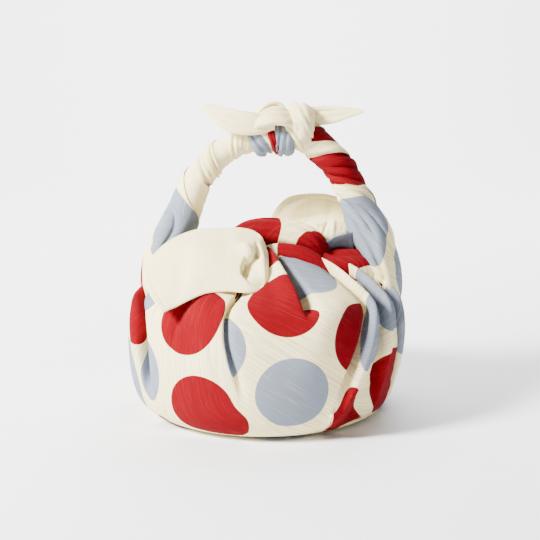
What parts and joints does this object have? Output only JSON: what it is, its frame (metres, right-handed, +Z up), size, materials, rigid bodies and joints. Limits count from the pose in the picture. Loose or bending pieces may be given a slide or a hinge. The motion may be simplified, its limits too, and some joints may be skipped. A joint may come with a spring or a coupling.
{
  "type": "furoshiki wrap",
  "caption": "Square cotton wrapping cloth knotted round a bowl-sized bundle, its two side corners twisted and tied into an arched carrying handle.",
  "frame": {"origin": "middle of the flat spot that the bundle stands on", "axes": "+Z up, +X to the right along the handle's span, -Y towards the front"},
  "size_m": [0.1513, 0.1509, 0.1675],
  "materials": {
    "printed_cotton": "slubbed plain weave with large red and grey-blue dots on a natural ground"
  },
  "bodies": {
    "root": {"furoshiki_wrap": "printed_cotton"}
  },
  "joints": []
}
